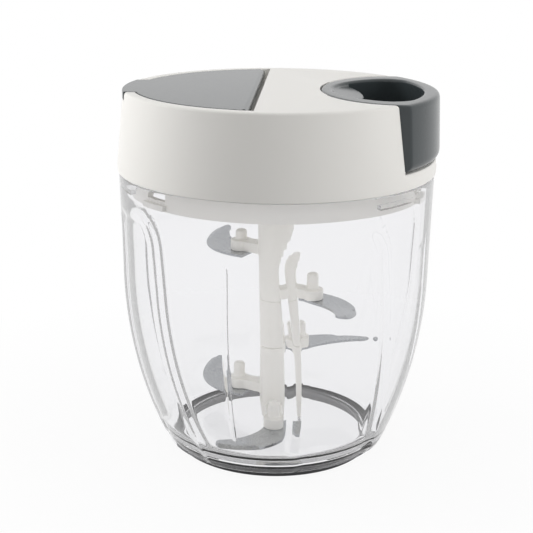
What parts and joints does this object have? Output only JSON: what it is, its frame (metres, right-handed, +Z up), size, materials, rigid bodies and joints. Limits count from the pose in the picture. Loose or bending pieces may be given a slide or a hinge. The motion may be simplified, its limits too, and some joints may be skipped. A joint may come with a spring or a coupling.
{
  "type": "pull cord food chopper",
  "caption": "Hand-pulled food chopper: clear bowl on a rubber ring, stacked sickle blades, white lid with a slate grey cord handle and a hinged filler flap",
  "frame": {"origin": "middle of the base on the table", "axes": "+Z up along the blade shaft, +X the way the cord is pulled, -Y towards the viewer of the picture"},
  "size_m": [0.1247, 0.1238, 0.1446],
  "materials": {
    "clear_plastic": "clear moulded SAN, polished",
    "white_plastic": "warm white ABS, satin",
    "slate_plastic": "slate grey ABS, glossy",
    "acetal": "white acetal, as moulded",
    "blade_steel": "stainless steel, ground edge",
    "pin_steel": "turned stainless steel",
    "spring_steel": "rolled spring strip",
    "black_rubber": "black rubber, matt",
    "silicone": "pale silicone",
    "cord": "braided nylon cord"
  },
  "bodies": {
    "bowl": {"bowl": "clear_plastic", "base_ring": "black_rubber", "pivot_pin": "pin_steel"},
    "seal": {"lid_seal": "silicone"},
    "cover": {"cover_shell": "white_plastic", "inner_plate": "white_plastic", "cover_screws": "pin_steel", "reel_post": "pin_steel", "cord_eyelet": "pin_steel", "cord_run": "cord", "hinge_pins": "pin_steel"},
    "handle": {"pull_handle": "slate_plastic", "cord_lead": "cord", "cord_knot": "cord"},
    "reel": {"reel": "acetal", "drive_socket": "acetal", "mainspring": "spring_steel", "cord_winding": "cord"},
    "flap": {"flap": "slate_plastic"},
    "blades": {"shaft_upper": "acetal", "shaft_sleeve": "acetal", "shaft_lower": "acetal", "shaft_foot": "acetal", "shaft_core": "pin_steel", "blade_1": "blade_steel", "blade_2": "blade_steel", "blade_3": "blade_steel", "blade_4": "blade_steel", "blade_5": "blade_steel"}
  },
  "joints": [
    {"name": "lid_lift", "type": "slide", "parent": "bowl", "child": "seal", "axis": [0, 0, 1], "range_m": [0, 0.12]},
    {"name": "lid_twist", "type": "hinge", "parent": "seal", "child": "cover", "pos_m": [0, 0, 0.1135], "axis": [0, 0, 1], "range_deg": [-23, 0]},
    {"name": "pull", "type": "slide", "parent": "cover", "child": "handle", "axis": [1, 0, 0], "range_m": [0, 0.3], "stiffness_N_per_m": 12, "springref_m": -0.1},
    {"name": "reel_spin", "type": "hinge", "parent": "cover", "child": "reel", "pos_m": [0, 0, 0.1228], "axis": [0, 0, 1], "range_deg": [0, 1080]},
    {"name": "shaft_spin", "type": "hinge", "parent": "bowl", "child": "blades", "pos_m": [0, 0, 0.05], "axis": [0, 0, 1], "range_deg": [0, 1080]},
    {"name": "flap_open", "type": "hinge", "parent": "cover", "child": "flap", "pos_m": [-0.0096, 0, 0.1425], "axis": [0, 1, 0], "range_deg": [0, 100]}
  ],
  "couplings": [
    {"joint": "reel_spin", "follows": "pull", "rad_per_m": 62.696},
    {"joint": "shaft_spin", "follows": "pull", "rad_per_m": 62.696}
  ]
}
